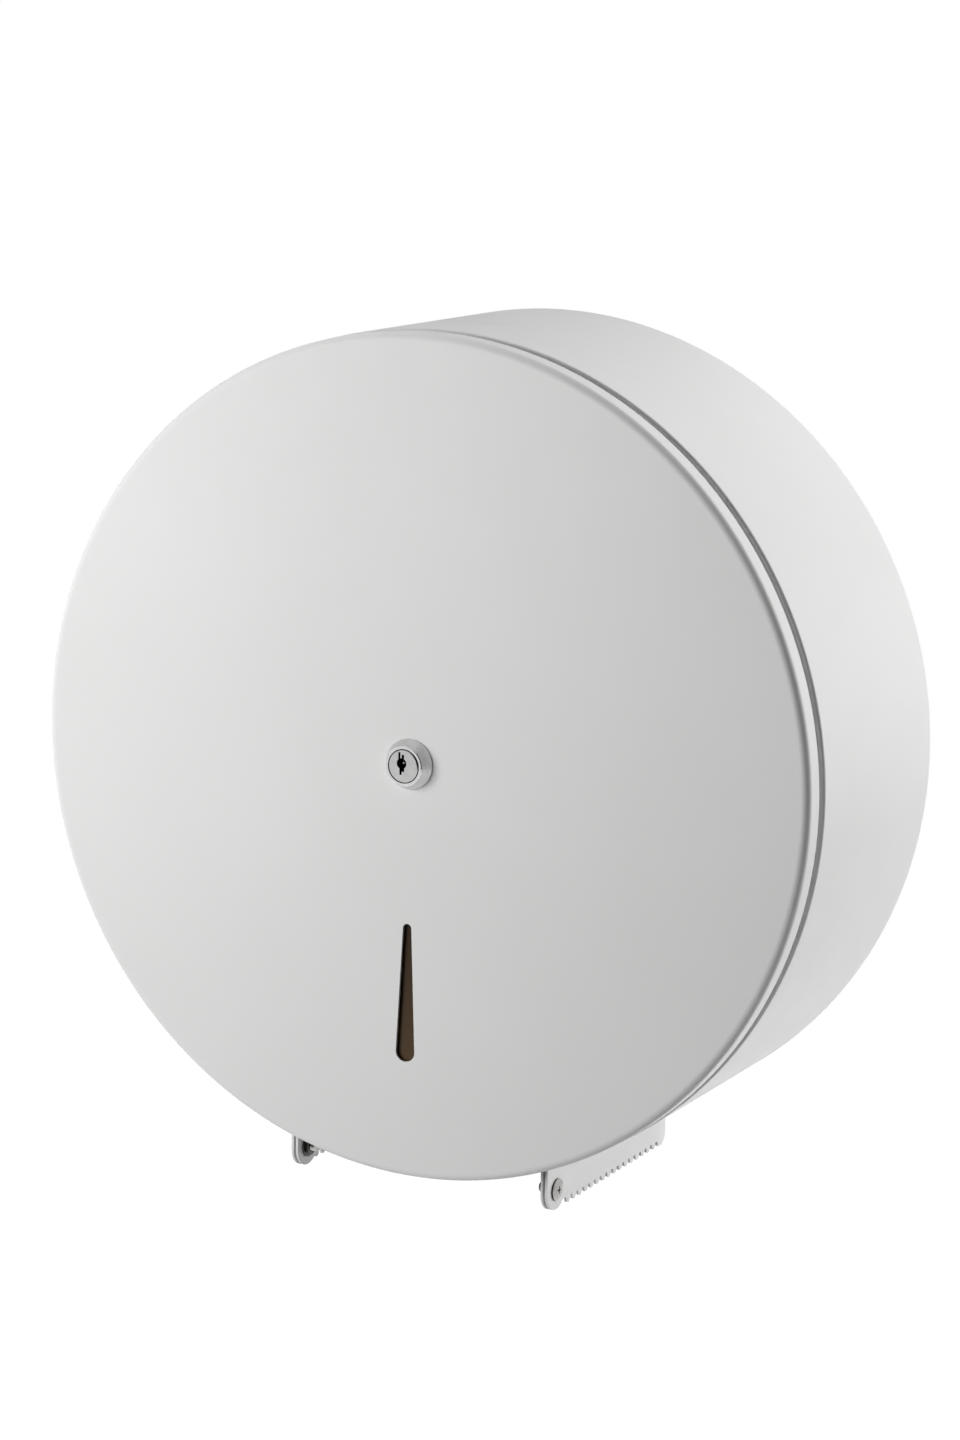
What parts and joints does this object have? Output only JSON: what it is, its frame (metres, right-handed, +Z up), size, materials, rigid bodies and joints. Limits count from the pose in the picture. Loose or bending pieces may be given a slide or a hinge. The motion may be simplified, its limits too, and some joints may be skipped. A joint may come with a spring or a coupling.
{
  "type": "jumbo toilet roll dispenser",
  "caption": "Round wall-hung steel dispenser for a jumbo toilet roll, with a hinged locking front cover, sight slot, turning hub and toothed tear plates.",
  "frame": {"origin": "centre of the round casing in the plane of the wall, middle of the four wall fixings", "axes": "+Y into the wall along the casing's axis, +Z up, +X to the right seen from the front"},
  "size_m": [0.316, 0.1233, 0.3245],
  "materials": {
    "satin_white_coat": "satin powder coat, white",
    "zinc_steel": "zinc-plated sheet steel, dull",
    "plated_steel": "bright zinc-plated fastener steel",
    "stainless_screw": "polished stainless steel",
    "black_steel": "blackened fastener steel",
    "lock_chrome": "satin chrome",
    "lock_satin_chrome": "satin chrome, turned face",
    "smoked_brown": "smoked brown acrylic",
    "foam_tape": "black foam tape",
    "grey_plastic": "moulded grey plastic",
    "pale_nylon": "natural nylon"
  },
  "bodies": {
    "casing": {"drum_shell": "satin_white_coat", "back_plate": "satin_white_coat", "axle_base": "zinc_steel", "base_rivets": "plated_steel", "spindle_axle": "zinc_steel", "axle_insert": "plated_steel", "strike_cup": "zinc_steel", "strike_screw": "plated_steel", "hub_washers": "plated_steel", "tear_plate_left": "satin_white_coat", "tear_plate_right": "satin_white_coat", "hinge_screws": "stainless_screw", "hinge_nuts": "black_steel", "hinge_washers": "black_steel"},
    "cover": {"front_cover": "satin_white_coat", "hinge_ear_left": "satin_white_coat", "hinge_ear_right": "satin_white_coat", "window_tape": "foam_tape", "sight_window": "smoked_brown", "lock_housing": "lock_chrome", "lock_washer": "plated_steel", "lock_nut": "plated_steel"},
    "plug": {"lock_plug": "lock_satin_chrome", "plug_clip": "plated_steel", "lock_cam": "plated_steel", "cam_washer": "plated_steel", "cam_screw": "plated_steel"},
    "hub": {"roll_hub": "grey_plastic", "hub_bush_rear": "pale_nylon", "hub_bush_front": "pale_nylon"}
  },
  "joints": [
    {"name": "cover_hinge", "type": "hinge", "parent": "casing", "child": "cover", "pos_m": [0, -0.09885, -0.1586], "axis": [1, 0, 0], "range_deg": [0, 175]},
    {"name": "key_turn", "type": "hinge", "parent": "cover", "child": "plug", "pos_m": [0, -0.118, 0], "axis": [0, 1, 0], "range_deg": [0, 90]},
    {"name": "roll_spin", "type": "hinge", "parent": "casing", "child": "hub", "pos_m": [0, -0.045, 0], "axis": [0, 1, 0], "continuous": true}
  ]
}
